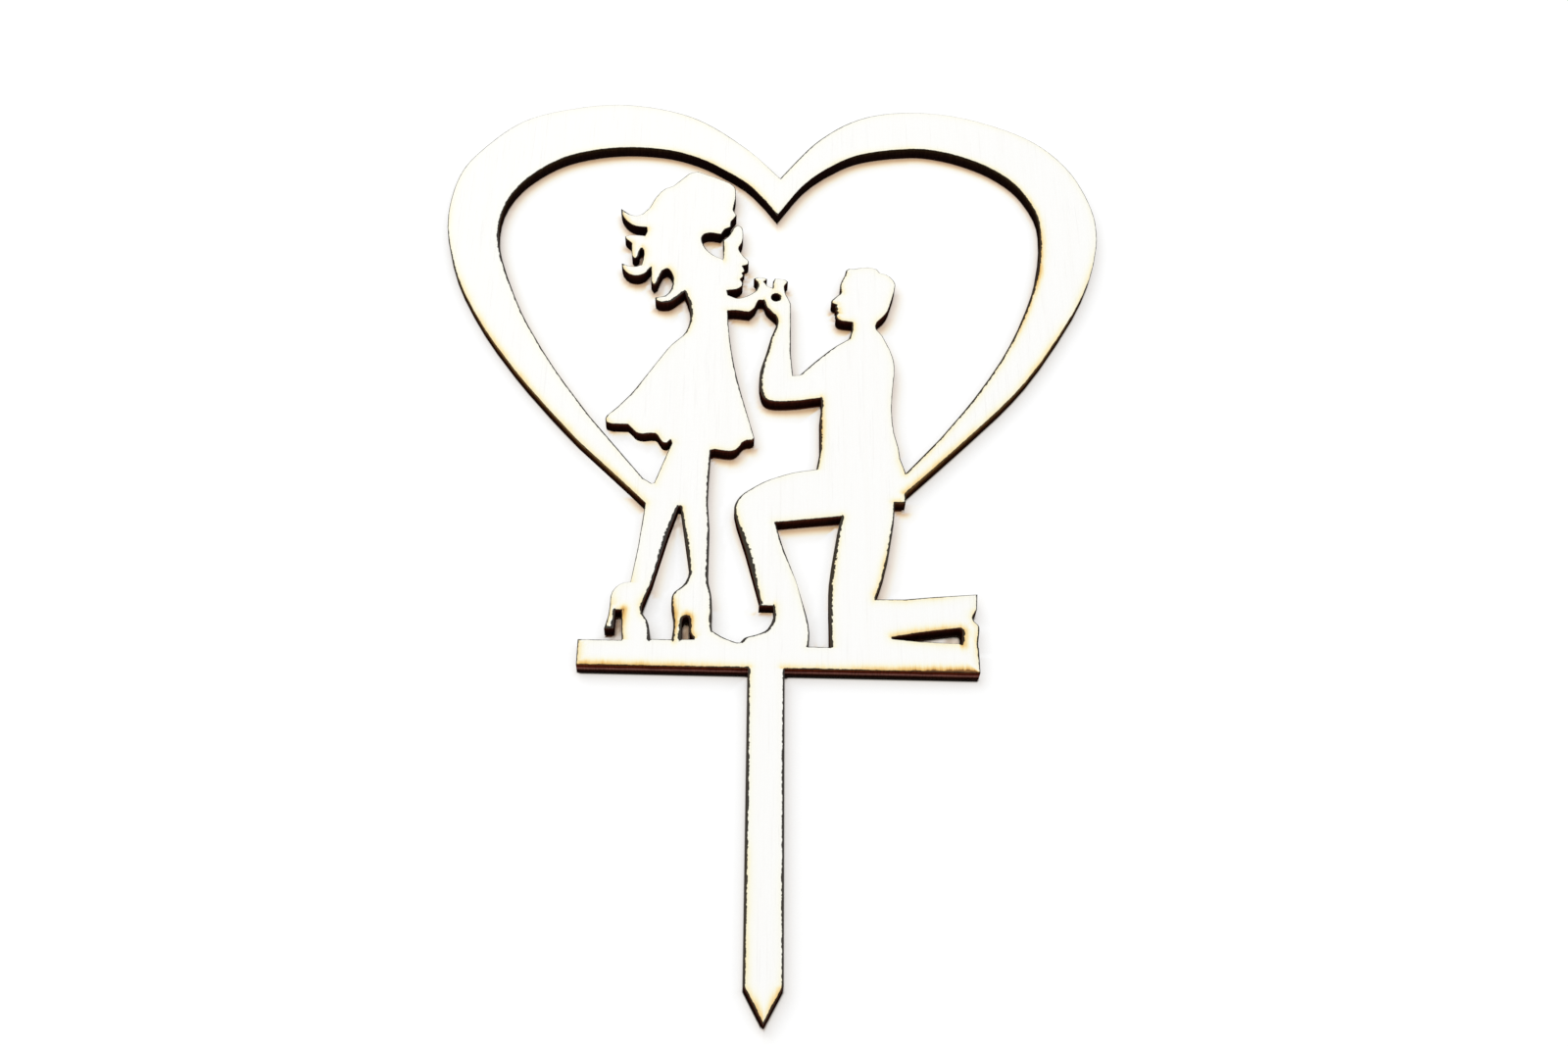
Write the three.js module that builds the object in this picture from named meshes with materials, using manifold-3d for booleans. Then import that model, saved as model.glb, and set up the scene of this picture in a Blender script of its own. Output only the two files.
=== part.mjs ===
import * as THREE from 'three';
import { mergeVertices } from 'three/addons/utils/BufferGeometryUtils.js';
import Module from 'manifold-3d';

// A cake topper, laser cut from one sheet of three-ply plywood. Millimetres.
// X runs to the right, Y from the front face to the back face and Z up.
// The origin is on the stake's centre line, at mid thickness, in the plane of the bar's underside.

// The layers of the sheet
const face_veneer = 0.9;
const glue_film = 0.1;
const core_thickness = 1;
const sheet_thickness = 2 * (face_veneer + glue_film) + core_thickness;

// The stake and the base bar
const stake_width = 7.2;
const stake_length = 69.7;
const point_length = 6.9;
const bar_height = 5.6;
const bar_left_reach = 37.4;
const bar_right_reach = 42.4;

// The heart band, measured from the top of the bar
const heart_width = 151;
const heart_height = 146;
const heart_right_of_stake = 1.1;

// The two figures stand on the bar, and each is placed by the hand that meets the other's
const woman_height = 125;
const man_height = 97;
const hands_left_of_stake = 1;
const woman_hand_share = 0.152;
const man_hand_share = -0.2165;

// The round hole between the joined hands
const finger_hole_width = 2;
const finger_hole_height = 2.3;

// How closely straight facets follow a curve, and how far a cut runs past both faces
const chord_error = 0.06;
const overrun = 1;
const curve_steps = 24;

// Outlines are lists of runs. A run of three or more points is one smooth curve through them,
// a shorter run is straight, and each run is joined to the next by a straight line.

// The band's outer edge over both lobes, from left to right
const heart_outer_left_shares = [
  [[-0.551, 0.324], [-0.652, 0.385], [-0.749, 0.448], [-0.868, 0.540], [-0.958, 0.638],
    [-0.999, 0.740], [-0.975, 0.839], [-0.912, 0.895], [-0.800, 0.955], [-0.653, 0.986],
    [-0.478, 0.999], [-0.266, 0.975], [-0.091, 0.908], [0.015, 0.846]],
];
const heart_outer_right_shares = [
  [[0.015, 0.846], [0.074, 0.890], [0.133, 0.929], [0.235, 0.973], [0.337, 0.995],
    [0.490, 1.002], [0.648, 0.987], [0.829, 0.942], [0.934, 0.879], [0.989, 0.799],
    [0.996, 0.745], [0.971, 0.676], [0.926, 0.615], [0.865, 0.556], [0.761, 0.470],
    [0.680, 0.416], [0.573, 0.356], [0.471, 0.301]],
];

// The band's inner edge over both lobes, from right to left
const heart_inner_right_shares = [
  [[0.476, 0.345], [0.577, 0.416], [0.662, 0.486], [0.707, 0.531], [0.744, 0.576],
    [0.779, 0.627], [0.805, 0.682], [0.818, 0.731], [0.816, 0.779], [0.790, 0.818],
    [0.750, 0.851], [0.681, 0.882], [0.602, 0.903], [0.520, 0.916], [0.436, 0.920],
    [0.266, 0.903], [0.174, 0.875], [0.093, 0.836], [0.007, 0.767]],
];
const heart_inner_left_shares = [
  [[0.007, 0.767], [-0.037, 0.801], [-0.089, 0.833], [-0.158, 0.860], [-0.229, 0.882],
    [-0.314, 0.898], [-0.401, 0.904], [-0.487, 0.903], [-0.572, 0.895], [-0.659, 0.878],
    [-0.737, 0.848], [-0.799, 0.809], [-0.835, 0.761], [-0.837, 0.697], [-0.761, 0.575],
    [-0.696, 0.507], [-0.625, 0.445], [-0.523, 0.368]],
];

// The band's ends run into her rear leg and his back, and are shares of those figures
const band_end_above_leg_shares = [
  [[-0.050, 0.306], [-0.035, 0.296]],
  [[-0.035, 0.296], [-0.029, 0.299], [-0.025, 0.309], [-0.016, 0.344]],
];
const band_end_at_leg_shares = [
  [[-0.020, 0.257], [-0.044, 0.257]],
  [[-0.070, 0.284]],
];
const band_end_at_back_shares = [
  [[0.093, 0.372], [0.092, 0.348]],
  [[0.068, 0.347], [0.060, 0.400]],
  [[0.095, 0.424]],
];

// The woman, clockwise from the crown of her hair
const woman_shares = [
  [[0.022, 0.999], [0.065, 0.981], [0.091, 0.965], [0.095, 0.945], [0.090, 0.907]],
  [[0.090, 0.907], [0.097, 0.893]],
  [[0.100, 0.869], [0.107, 0.864], [0.110, 0.848], [0.108, 0.828], [0.102, 0.813],
    [0.110, 0.797], [0.121, 0.783], [0.119, 0.776], [0.109, 0.772]],
  [[0.109, 0.772], [0.114, 0.761], [0.109, 0.755]],
  [[0.109, 0.755], [0.112, 0.748], [0.106, 0.741]],
  [[0.106, 0.741], [0.111, 0.730], [0.103, 0.719], [0.083, 0.714]],
  [[0.083, 0.714], [0.085, 0.703]],
  [[0.085, 0.703], [0.103, 0.696], [0.125, 0.706], [0.134, 0.714]],
  [[0.134, 0.714], [0.138, 0.726], [0.138, 0.734], [0.131, 0.743]],
  [[0.138, 0.746], [0.148, 0.746], [0.155, 0.743]],
  [[0.149, 0.737], [0.156, 0.726], [0.165, 0.723]],
  [[0.165, 0.723], [0.166, 0.738], [0.170, 0.745]],
  [[0.187, 0.743], [0.193, 0.738]],
  [[0.193, 0.738], [0.186, 0.727], [0.187, 0.720], [0.189, 0.707]],
  [[0.175, 0.680], [0.174, 0.659], [0.161, 0.670], [0.154, 0.679], [0.149, 0.694]],
  [[0.140, 0.694], [0.133, 0.676], [0.124, 0.666]],
  [[0.098, 0.669], [0.085, 0.668]],
  [[0.085, 0.668], [0.087, 0.634], [0.092, 0.588], [0.101, 0.534], [0.116, 0.469], [0.136, 0.393]],
  [[0.136, 0.393], [0.131, 0.389], [0.122, 0.388], [0.115, 0.383], [0.110, 0.374], [0.101, 0.366],
    [0.087, 0.365], [0.068, 0.368], [0.062, 0.366]],
  [[0.062, 0.366], [0.060, 0.307], [0.060, 0.262], [0.064, 0.213], [0.064, 0.150], [0.065, 0.108],
    [0.070, 0.085], [0.072, 0.060], [0.071, 0.035], [0.073, 0.020]],
  [[0.073, 0.020], [0.090, 0.009], [0.109, 0.001], [0.128, -0.004]],
  [[0.128, -0.020], [-0.070, -0.020]],
  [[-0.070, 0.003], [-0.073, 0.054]],
  [[-0.083, 0.054], [-0.084, 0.021]],
  [[-0.099, 0.020], [-0.094, 0.040], [-0.092, 0.060], [-0.091, 0.083], [-0.084, 0.096],
    [-0.073, 0.104], [-0.061, 0.106]],
  [[-0.061, 0.106], [-0.055, 0.148], [-0.050, 0.191], [-0.044, 0.257]],
  [[-0.016, 0.344], [-0.004, 0.379]],
  [[-0.004, 0.379], [-0.007, 0.385], [-0.012, 0.379], [-0.020, 0.380], [-0.026, 0.388],
    [-0.032, 0.397], [-0.040, 0.398], [-0.054, 0.396], [-0.066, 0.399], [-0.074, 0.408],
    [-0.081, 0.415]],
  [[-0.107, 0.415], [-0.118, 0.419], [-0.120, 0.425], [-0.118, 0.432]],
  [[-0.118, 0.432], [-0.102, 0.449], [-0.078, 0.480], [-0.049, 0.529], [-0.014, 0.586],
    [0.010, 0.614], [0.018, 0.643], [0.017, 0.674], [0.007, 0.709]],
  [[0.007, 0.709], [-0.006, 0.695], [-0.018, 0.685], [-0.033, 0.682], [-0.044, 0.686],
    [-0.046, 0.693]],
  [[-0.046, 0.693], [-0.028, 0.698], [-0.019, 0.711], [-0.015, 0.733], [-0.018, 0.750],
    [-0.026, 0.761], [-0.034, 0.757], [-0.039, 0.745], [-0.043, 0.729]],
  [[-0.043, 0.729], [-0.049, 0.722], [-0.055, 0.730]],
  [[-0.055, 0.730], [-0.055, 0.748], [-0.056, 0.764]],
  [[-0.056, 0.764], [-0.068, 0.747], [-0.083, 0.742], [-0.096, 0.746], [-0.106, 0.757],
    [-0.110, 0.770]],
  [[-0.110, 0.770], [-0.098, 0.765], [-0.085, 0.763], [-0.074, 0.768]],
  [[-0.074, 0.768], [-0.071, 0.785], [-0.071, 0.801], [-0.075, 0.808], [-0.079, 0.801]],
  [[-0.079, 0.801], [-0.081, 0.787], [-0.087, 0.783], [-0.092, 0.789]],
  [[-0.092, 0.789], [-0.094, 0.808], [-0.094, 0.818], [-0.105, 0.829], [-0.107, 0.834]],
  [[-0.107, 0.834], [-0.100, 0.837], [-0.087, 0.838], [-0.071, 0.837]],
  [[-0.071, 0.837], [-0.067, 0.848], [-0.068, 0.858]],
  [[-0.068, 0.858], [-0.088, 0.860], [-0.104, 0.870], [-0.114, 0.885], [-0.118, 0.901]],
  [[-0.118, 0.901], [-0.110, 0.895], [-0.100, 0.887], [-0.088, 0.885], [-0.077, 0.890]],
  [[-0.077, 0.890], [-0.065, 0.905], [-0.055, 0.930], [-0.040, 0.952], [-0.023, 0.961]],
  [[-0.023, 0.961], [-0.008, 0.978], [0.007, 0.994], [0.022, 0.999]],
];

// The gap under her fringe, and the slit that opens it to the air above her forehead
const fringe_gap_shares = [
  [[0.074, 0.786], [0.060, 0.793], [0.045, 0.806], [0.036, 0.823], [0.034, 0.836], [0.039, 0.846],
    [0.053, 0.849], [0.072, 0.845]],
  [[0.072, 0.845], [0.074, 0.815], [0.074, 0.786]],
];
const fringe_slit_shares = [
  [[0.097, 0.893], [0.087, 0.877]],
  [[0.087, 0.865], [0.076, 0.859]],
  [[0.069, 0.845], [0.072, 0.830]],
  [[0.072, 0.830], [0.084, 0.843], [0.089, 0.856], [0.094, 0.865], [0.100, 0.869]],
  [[0.112, 0.882]],
];

// The gap between her legs, and the slot behind the heel of her front shoe
const leg_gap_shares = [
  [[0.011, 0.252], [-0.003, 0.203], [-0.015, 0.152], [-0.028, 0.101], [-0.041, 0.060],
    [-0.039, 0.048], [-0.031, 0.036], [-0.027, 0.022], [-0.026, 0.003]],
  [[0.009, 0.003], [0.011, 0.025], [0.010, 0.048], [0.006, 0.069], [0.007, 0.082],
    [0.012, 0.091], [0.024, 0.102], [0.031, 0.116], [0.033, 0.131], [0.030, 0.152],
    [0.023, 0.200], [0.015, 0.252]],
];
const heel_slot_shares = [
  [[0.024, 0.004], [0.024, 0.036]],
  [[0.024, 0.036], [0.026, 0.043], [0.031, 0.046], [0.035, 0.043], [0.036, 0.036]],
  [[0.037, 0.018], [0.045, 0.004]],
];

// The man, anticlockwise from the top of his back
const man_shares = [
  [[0.054, 0.799], [0.070, 0.759], [0.078, 0.726], [0.078, 0.690], [0.072, 0.641], [0.069, 0.584],
    [0.072, 0.532], [0.081, 0.490], [0.084, 0.460], [0.095, 0.424]],
  [[0.068, 0.347], [0.065, 0.300], [0.057, 0.246], [0.045, 0.186], [0.029, 0.132],
    [0.022, 0.115], [0.021, 0.108]],
  [[0.021, 0.108], [0.079, 0.109], [0.139, 0.116], [0.235, 0.125]],
  [[0.232, 0.089], [0.223, 0.073], [0.224, 0.062], [0.234, 0.050], [0.233, 0.030], [0.230, 0.010]],
  [[0.230, -0.030], [-0.260, -0.030]],
  [[-0.260, 0.001], [-0.250, 0.012], [-0.225, 0.020], [-0.207, 0.030], [-0.197, 0.046],
    [-0.192, 0.066], [-0.193, 0.087]],
  [[-0.223, 0.087], [-0.220, 0.094]],
  [[-0.220, 0.094], [-0.252, 0.220]],
  [[-0.252, 0.220], [-0.264, 0.262], [-0.275, 0.300], [-0.278, 0.328], [-0.265, 0.355],
    [-0.241, 0.375], [-0.212, 0.394], [-0.180, 0.408], [-0.148, 0.419], [-0.101, 0.428]],
  [[-0.101, 0.428], [-0.093, 0.479], [-0.092, 0.532], [-0.092, 0.572], [-0.088, 0.600],
    [-0.089, 0.620]],
  [[-0.089, 0.620], [-0.150, 0.609], [-0.203, 0.608], [-0.218, 0.617], [-0.226, 0.640],
    [-0.227, 0.683], [-0.213, 0.739], [-0.202, 0.787], [-0.188, 0.827]],
  [[-0.188, 0.827], [-0.192, 0.850], [-0.215, 0.880], [-0.200, 0.920], [-0.176, 0.920],
    [-0.166, 0.908]],
  [[-0.166, 0.908], [-0.157, 0.885]],
  [[-0.157, 0.741], [-0.152, 0.680]],
  [[-0.137, 0.681], [-0.112, 0.709], [-0.087, 0.735], [-0.056, 0.764], [-0.024, 0.787]],
  [[-0.024, 0.787], [-0.016, 0.812], [-0.015, 0.837]],
  [[-0.015, 0.837], [-0.036, 0.839], [-0.048, 0.843], [-0.053, 0.853], [-0.048, 0.863]],
  [[-0.048, 0.863], [-0.053, 0.870], [-0.049, 0.875]],
  [[-0.049, 0.875], [-0.054, 0.880], [-0.050, 0.887]],
  [[-0.050, 0.887], [-0.060, 0.890], [-0.063, 0.896], [-0.050, 0.911], [-0.040, 0.924],
    [-0.042, 0.934], [-0.041, 0.947], [-0.030, 0.975]],
  [[-0.030, 0.975], [-0.027, 0.989], [-0.019, 0.996]],
  [[-0.008, 0.995], [0.012, 1], [0.031, 1.001], [0.046, 0.996]],
  [[0.053, 0.985], [0.069, 0.980], [0.080, 0.970], [0.088, 0.954], [0.086, 0.935], [0.078, 0.904],
    [0.069, 0.875], [0.058, 0.856], [0.044, 0.841], [0.039, 0.829], [0.040, 0.818]],
];

// The gap under his raised thigh, and the wedge above the sole of his rear shoe
const thigh_gap_shares = [
  [[-0.190, 0.290], [-0.047, 0.309]],
  [[-0.047, 0.309], [-0.056, 0.275], [-0.066, 0.215], [-0.075, 0.156], [-0.077, 0.095],
    [-0.077, 0.030], [-0.076, -0.006]],
  [[-0.121, -0.006], [-0.118, 0.018], [-0.120, 0.045], [-0.127, 0.078], [-0.148, 0.156],
    [-0.173, 0.228], [-0.190, 0.290]],
];
const wedge_slot_shares = [
  [[0.052, 0.016], [0.053, 0.020]],
  [[0.107, 0.031], [0.152, 0.038], [0.190, 0.044], [0.198, 0.041], [0.199, 0.032]],
  [[0.196, 0.008], [0.106, 0.011]],
];

const finger_hole_centre_shares = [0.171, 0.701];

// The frames that turn shares into millimetres on the sheet
const woman_left_of_stake = hands_left_of_stake + woman_hand_share * woman_height;
const man_left_of_stake = hands_left_of_stake + man_hand_share * man_height;
const heartAt = ([x, z]) => [
  heart_right_of_stake + x * heart_width / 2,
  bar_height + z * heart_height,
];
const womanAt = ([x, z]) => [
  x * woman_height - woman_left_of_stake,
  bar_height + z * woman_height,
];
const manAt = ([x, z]) => [
  x * man_height - man_left_of_stake,
  bar_height + z * man_height,
];

// The points of a curve that straight facets need to stay within the chord error
function thinned(points) {
  const first = points[0];
  const last = points[points.length - 1];
  const chord = new THREE.Line3(first, last);
  let worst = 0;
  let split = 0;
  points.forEach((point, index) => {
    const near = chord.closestPointToPoint(point, true, new THREE.Vector3());
    const distance = near.distanceTo(point);
    if (distance > worst) {
      worst = distance;
      split = index;
    }
  });
  if (worst <= chord_error) return [first, last];
  return [...thinned(points.slice(0, split + 1)), ...thinned(points.slice(split)).slice(1)];
}

// One run as points on the sheet
function runPoints(run) {
  const points = run.map(([x, z]) => new THREE.Vector3(x, z, 0));
  if (points.length < 3) return points;
  const curve = new THREE.CatmullRomCurve3(points, false, 'centripetal');
  return thinned(curve.getPoints(curve_steps * (points.length - 1)));
}

// A closed outline through all its runs, without the points that two runs share
function outline(runs) {
  const points = runs.flatMap(runPoints);
  return points.filter((point, index) => {
    const next = points[(index + 1) % points.length];
    return point.distanceTo(next) > chord_error;
  });
}

const placed = (runs, frame) => runs.map((run) => run.map(frame));

const wasm = await Module();
wasm.setup();

// A closed three.js mesh as a solid that can be joined and cut
function solid(geometry) {
  geometry.deleteAttribute('normal');
  geometry.deleteAttribute('uv');
  const merged = mergeVertices(geometry);
  return new wasm.Manifold(new wasm.Mesh({
    numProp: 3,
    vertProperties: merged.attributes.position.array,
    triVerts: new Uint32Array(merged.index.array),
  }));
}

// An outline as a slab of the sheet, which a cut overruns at both faces
function slab(points, margin = 0) {
  const shape = new THREE.Shape(points.map(({ x, y }) => new THREE.Vector2(x, y)));
  const depth = sheet_thickness + 2 * margin;
  const geometry = new THREE.ExtrudeGeometry(shape, { depth, bevelEnabled: false });
  return solid(geometry.translate(0, 0, -margin));
}

const figure = (runs, frame) => slab(outline(placed(runs, frame)));
const cut = (runs, frame) => slab(outline(placed(runs, frame)), overrun);

function heartBand() {
  return slab(outline([
    ...placed(band_end_at_leg_shares, womanAt),
    ...placed(heart_outer_left_shares, heartAt),
    ...placed(heart_outer_right_shares, heartAt),
    ...placed(band_end_at_back_shares, manAt),
    ...placed(heart_inner_right_shares, heartAt),
    ...placed(heart_inner_left_shares, heartAt),
    ...placed(band_end_above_leg_shares, womanAt),
  ]));
}

function baseBar() {
  return slab(outline([
    [[-bar_left_reach, 0], [bar_right_reach, 0]],
    [[bar_right_reach, bar_height], [-bar_left_reach, bar_height]],
  ]));
}

function stake() {
  const shoulder = point_length - stake_length;
  return slab(outline([
    [[0, -stake_length], [stake_width / 2, shoulder]],
    [[stake_width / 2, bar_height / 2], [-stake_width / 2, bar_height / 2]],
    [[-stake_width / 2, shoulder]],
  ]));
}

function fingerHole() {
  const [x, z] = womanAt(finger_hole_centre_shares);
  const rim = new THREE.EllipseCurve(x, z, finger_hole_width / 2, finger_hole_height / 2);
  return slab(rim.getPoints(curve_steps).slice(1), overrun);
}

// The whole board as the laser leaves it, lying with its front face up
function cutBoard() {
  const board = heartBand()
    .add(figure(woman_shares, womanAt))
    .add(figure(man_shares, manAt))
    .add(baseBar())
    .add(stake());
  return board
    .subtract(cut(fringe_gap_shares, womanAt))
    .subtract(cut(fringe_slit_shares, womanAt))
    .subtract(cut(leg_gap_shares, womanAt))
    .subtract(cut(heel_slot_shares, womanAt))
    .subtract(cut(thigh_gap_shares, manAt))
    .subtract(cut(wedge_slot_shares, manAt))
    .subtract(fingerHole());
}

// The board's mesh, stood upright with its front face on the plane of zero depth
function boardGeometry() {
  const { vertProperties, triVerts } = cutBoard().getMesh();
  const geometry = new THREE.BufferGeometry();
  geometry.setAttribute('position', new THREE.BufferAttribute(vertProperties, 3));
  geometry.setIndex(new THREE.BufferAttribute(triVerts, 1));
  geometry.translate(0, 0, -sheet_thickness);
  geometry.rotateX(Math.PI / 2);
  return geometry;
}

const board = boardGeometry();

// One layer of the board, from its depth behind the front face
function layer(name, depth, thickness, material) {
  const geometry = board.clone().scale(1, thickness / sheet_thickness, 1);
  geometry.computeVertexNormals();
  const mesh = new THREE.Mesh(geometry, material);
  mesh.name = name;
  mesh.position.y = depth - sheet_thickness / 2;
  return mesh;
}

const pale_veneer = new THREE.MeshStandardMaterial({ color: 0xf6ead6, roughness: 0.72, metalness: 0 });
const core_wood = new THREE.MeshStandardMaterial({ color: 0x7a4a2a, roughness: 0.85, metalness: 0 });
const set_glue = new THREE.MeshStandardMaterial({ color: 0x2a1810, roughness: 0.6, metalness: 0 });

const core_depth = face_veneer + glue_film;
const back_glue_depth = core_depth + core_thickness;

const topper = new THREE.Group();
topper.add(
  layer('front_face_veneer', 0, face_veneer, pale_veneer),
  layer('front_glue_film', face_veneer, glue_film, set_glue),
  layer('core_veneer', core_depth, core_thickness, core_wood),
  layer('back_glue_film', back_glue_depth, glue_film, set_glue),
  layer('back_face_veneer', back_glue_depth + glue_film, face_veneer, pale_veneer),
);

export default topper;
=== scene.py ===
import math

import bmesh
import bpy
from mathutils import Euler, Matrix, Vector
from mathutils.bvhtree import BVHTree


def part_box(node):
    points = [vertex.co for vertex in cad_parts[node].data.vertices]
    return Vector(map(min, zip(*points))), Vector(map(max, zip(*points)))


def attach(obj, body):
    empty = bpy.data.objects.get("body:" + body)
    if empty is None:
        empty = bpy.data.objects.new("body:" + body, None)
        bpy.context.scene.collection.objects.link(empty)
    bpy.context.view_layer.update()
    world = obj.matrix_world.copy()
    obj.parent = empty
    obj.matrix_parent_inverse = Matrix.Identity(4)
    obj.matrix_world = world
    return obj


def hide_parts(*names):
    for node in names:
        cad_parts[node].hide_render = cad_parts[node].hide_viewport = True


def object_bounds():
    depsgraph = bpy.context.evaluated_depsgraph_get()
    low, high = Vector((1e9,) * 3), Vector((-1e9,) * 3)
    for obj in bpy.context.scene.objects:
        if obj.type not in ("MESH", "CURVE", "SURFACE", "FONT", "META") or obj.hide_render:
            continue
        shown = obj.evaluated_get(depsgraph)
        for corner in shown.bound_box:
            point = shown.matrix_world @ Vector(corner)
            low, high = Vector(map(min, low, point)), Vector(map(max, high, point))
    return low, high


bl_info = {
    "name": "Heart Cake Topper Finish",
    "version": (1, 0, 0),
    "blender": (4, 5, 0),
    "location": "View3D > Sidebar > Topper",
    "description": "Finishes a laser-cut three-ply heart topper and lays it on a white sheet",
    "category": "Object",
}

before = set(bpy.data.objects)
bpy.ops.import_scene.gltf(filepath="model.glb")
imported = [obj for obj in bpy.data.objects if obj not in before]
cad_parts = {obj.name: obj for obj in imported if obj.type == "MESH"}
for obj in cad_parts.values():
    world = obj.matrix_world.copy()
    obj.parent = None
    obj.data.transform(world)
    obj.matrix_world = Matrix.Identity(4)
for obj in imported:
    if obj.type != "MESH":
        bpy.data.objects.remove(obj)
CAD_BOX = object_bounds()

MM = 0.001
MERGE_DISTANCE = 0.002 * MM
WALL_TILT = 0.5  # a face whose normal leans less than this to the front or back is a cut wall
SMOOTH_ANGLE = math.radians(32)
FACE_SLOT, WALL_SLOT, GLUED_SLOT = 0, 1, 2

FRONT_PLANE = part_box("front_face_veneer")[0].y
BACK_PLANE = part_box("back_face_veneer")[1].y
HEART_MIDDLE = (0.0, 0.09)  # x and z
HEART_REACH = 0.076  # a place on the sheet further from the middle is outside the heart
HOOP_REACH = 0.047  # beyond this a wall that faces away from the middle is on the outside of the heart
LEG_TOP = 0.041  # below this height the heart has run into the couple
SHEET_MARGIN = 0.012  # how far the sheet's fine squares go past the board

# Stain that a cut leaves beside it, by the way that it faces. The extra at the bar, and its reach in mm.
STAIN_DOWN, STAIN_UP, STAIN_LEFT, STAIN_RIGHT = 0.2, 0.08, 0.38, 0.1
STAIN_UNDER_BAR, UNDER_BAR_REACH = 0.45, 4
STAIN_CUT_OFF = 2.2  # further from a place than this many of its reaches, its gain is left out

# Dark line beside an upright wall, in mm: real char and painted contact shadow. A wall that faces the middle
# has a wider one, by a share that grows by one over the spread, within its limits.
LINE_WIDTH = 0.22
LINE_MIDDLE, LINE_SPREAD = -15, 25
LINE_LIMITS = (-0.35, 0.5)

# How far the painted light creeps in under the board's edge, the height where it starts and its rise, in mm.
CREEP, CREEP_START, CREEP_RISE = 0.16, 8, 17

# A small hole in the board is found by rays round a place on the sheet, with their length in mm.
# It starts to tell and tells in full when so many are blocked. Its shares of painted shade and warm tint.
POCKET_RAYS, POCKET_REACH = 16, 3.2
POCKET_START, POCKET_FULL = 10, 15
POCKET_SHADE, POCKET_WARMTH = 0.72, 0.7

# Warm tint of the sheet's painted shade inside the heart, the extra beside a wall that faces down, and the
# tint outside.
WARMTH_INSIDE, WARMTH_BELOW, WARMTH_OUTSIDE = 0.25, 0.75, 0.06

# Painted light and shade of the sheet by its distance from the board's edge: the ramps' span in mm, shares
# and colours.
SHADE_SPAN = (0.0, 5.0)
PLAIN_SHADE = (
    (0.0, (0.0, 0.0, 0.0)),
    (0.02, (0.19, 0.175, 0.165)),
    (0.06, (0.63, 0.605, 0.585)),
    (0.09, (0.775, 0.763, 0.753)),
    (0.17, (0.845, 0.838, 0.833)),
    (0.27, (0.892, 0.888, 0.886)),
    (0.39, (0.922, 0.921, 0.920)),
    (0.57, (0.95, 0.95, 0.95)),
    (0.80, (0.975, 0.975, 0.975)),
    (1.0, (1.0, 1.0, 1.0)),
)
WARM_SHADE = (
    (0.0, (0.05, 0.01, 0.0)),
    (0.02, (0.20, 0.08, 0.01)),
    (0.06, (0.42, 0.23, 0.065)),
    (0.156, (0.60, 0.35, 0.147)),
    (0.252, (0.79, 0.57, 0.327)),
    (0.372, (0.93, 0.82, 0.61)),
    (0.528, (0.955, 0.94, 0.89)),
    (0.80, (0.965, 0.96, 0.95)),
    (1.0, (1.0, 1.0, 1.0)),
)

# Where the sheet's painted light reaches further in: x and z of the place and its reach, in mm, and how far
# in, in mm.
LIT_PLACES = (
    (-30, 52, 7, 2.2),
    (-19, 28, 9, 0.7),
    (8, 22, 10, 0.7),
    (-2, 20, 8, 0.5),
)

# Where the smoke pooled or was carried off: x and z of the place and its reach, in mm, and the gain.
SCORCHED_PLACES = (
    (-33, 0, 10, 0.45),
    (14, 0, 8, -0.25),
    (36, 0, 10, 0.4),
    (42, 6, 5, 2.0),
    (31, 12, 9, 2.7),
    (-16, 11, 4, 2.0),
    (-27, 13, 3, 3.0),
    (-34, 15, 4, -0.8),
    (-26, 8, 2.5, -0.7),
    (-6, -14, 12, -0.5),
    (-6, -38, 18, -0.4),
    (4, -47, 9, 0.9),
    (5, -66, 5, 3.0),
    (-74, 104, 17, -0.3),
    (-66, 134, 22, -0.7),
    (31, 45, 8, 2.0),
    (41, 54, 8, 1.5),
    (60, 77, 10, 1.2),
    (74, 101, 8, 0.6),
    (57, 89, 8, 1.3),
    (61, 102, 7, 2.6),
    (47, 72, 7, 1.0),
    (61, 111, 7, 0.7),
    (57, 132, 7, -0.3),
    (46, 140, 8, -0.4),
    (8, 124, 7, -0.7),
    (11, 58, 7, 1.0),
    (-28, 28, 9, -0.9),
    (22, 24, 8, 2.2),
    (-28, 70, 12, -0.4),
    (14, 86, 6, 0.5),
)

# Where the arris line, real char and painted contact shadow, is wider or finer: x and z of the place and its
# reach, in mm, and the gain.
CHAR_AND_SHADOW_PLACES = (
    (0, -30, 40, 1.2),
    (-19, 6, 2.5, 0.8),
    (9, 4, 2.5, 0.6),
    (45, 6, 5, 1.0),
    (38, 8, 3, -0.35),
    (-5, 6, 5, 0.9),
    (-32, 6, 5, 0.8),
    (14, 22, 14, 0.95),
    (5, 19, 6, -0.8),
    (25, 30, 7, 1.2),
    (29, 42, 5, 0.9),
    (32, 17, 9, 1.1),
    (-4, 27, 7, 1.4),
    (-19, 30, 6, 1.7),
    (-12, 42, 7, 0.8),
    (-14, 17, 8, 1.0),
    (-30, 20, 4.5, -0.6),
    (-28, 30, 3.5, -0.45),
    (-20, 90, 6, 2.6),
    (-31, 66, 7, 1.2),
    (-3, 70, 8, 1.1),
    (4, 80, 6, 0.5),
    (12, 78, 5, 0.3),
    (11, 57, 8, 0.6),
    (35, 54, 6, 0.5),
    (45, 68, 11, 0.6),
    (55, 88, 9, 0.6),
    (61, 103, 9, 0.75),
    (74, 130, 14, -0.3),
    (-3, 137, 6, -0.6),
    (-70, 103, 8, 1.4),
    (-74, 124, 9, -0.2),
)

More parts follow.
